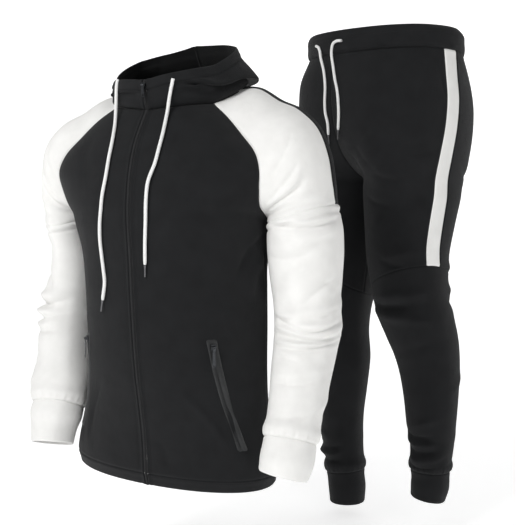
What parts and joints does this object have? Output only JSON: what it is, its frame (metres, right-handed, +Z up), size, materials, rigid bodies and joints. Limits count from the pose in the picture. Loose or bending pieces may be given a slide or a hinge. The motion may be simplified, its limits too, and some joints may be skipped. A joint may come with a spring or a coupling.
{
  "type": "tracksuit",
  "caption": "Zip hooded jacket with raglan sleeves and cuffed joggers, filled out as worn with no wearer; hollow cloth walls, drawcords and zip pulls.",
  "frame": {"origin": "middle of the jacket's neck, where the wearer holds the jacket up", "axes": "+Z up, the jacket's front faces -Y, the wearer's left is +X"},
  "size_m": [0.6986, 0.7973, 0.9928],
  "materials": {
    "black_cloth": "matt brushed-back jersey, black",
    "white_cloth": "matt brushed-back jersey, off-white",
    "zip_coil": "black coil zip tape",
    "zip_metal": "dark coated metal",
    "white_cord": "round braided cord, white",
    "cord_tip": "dark metal tip"
  },
  "bodies": {
    "tracksuit": {"front_zip": "zip_coil", "jacket_front_left": "black_cloth", "jacket_hem_left": "black_cloth", "pocket_zip_left": "black_cloth", "jacket_front_right": "black_cloth", "jacket_hem_right": "black_cloth", "pocket_zip_right": "black_cloth", "jacket_back": "black_cloth", "jacket_hem_back": "black_cloth", "sleeve_left_front": "white_cloth", "sleeve_left_stripe": "black_cloth", "sleeve_left_back": "white_cloth", "sleeve_left_lower": "white_cloth", "sleeve_left_cuff": "white_cloth", "sleeve_right_front": "white_cloth", "sleeve_right_stripe": "black_cloth", "sleeve_right_back": "white_cloth", "sleeve_right_lower": "white_cloth", "sleeve_right_cuff": "white_cloth", "hood_left": "black_cloth", "hood_right": "black_cloth", "front_slider": "zip_metal", "pocket_left_slider": "zip_metal", "pocket_right_slider": "zip_metal", "hood_left_cord": "white_cord", "hood_left_tip": "cord_tip", "hood_right_cord": "white_cord", "hood_right_tip": "cord_tip", "waistband": "black_cloth", "leg_left_front": "black_cloth", "leg_left_stripe": "white_cloth", "leg_left_back": "black_cloth", "leg_left_lower": "black_cloth", "leg_left_cuff": "black_cloth", "leg_right_front": "black_cloth", "leg_right_stripe": "white_cloth", "leg_right_back": "black_cloth", "leg_right_lower": "black_cloth", "leg_right_cuff": "black_cloth", "waist_right_cord": "white_cord", "waist_right_tip": "cord_tip", "waist_left_cord": "white_cord", "waist_left_tip": "cord_tip"},
    "front_pull": {"front_pull": "zip_metal"},
    "pocket_left_pull": {"pocket_left_pull": "zip_metal"},
    "pocket_right_pull": {"pocket_right_pull": "zip_metal"}
  },
  "joints": [
    {"name": "front_pull_hinge", "type": "hinge", "parent": "tracksuit", "child": "front_pull", "pos_m": [0.00003, -0.10274, 0.00554], "axis": [-1, -0.0053, 0], "range_deg": [-3, 100]},
    {"name": "pocket_left_pull_hinge", "type": "hinge", "parent": "tracksuit", "child": "pocket_left_pull", "pos_m": [0.12142, -0.09544, -0.41173], "axis": [-0.7551, -0.6556, 0], "range_deg": [-3, 100]},
    {"name": "pocket_right_pull_hinge", "type": "hinge", "parent": "tracksuit", "child": "pocket_right_pull", "pos_m": [-0.1195, -0.09498, -0.41103], "axis": [-0.6872, 0.7265, 0], "range_deg": [-3, 100]}
  ]
}
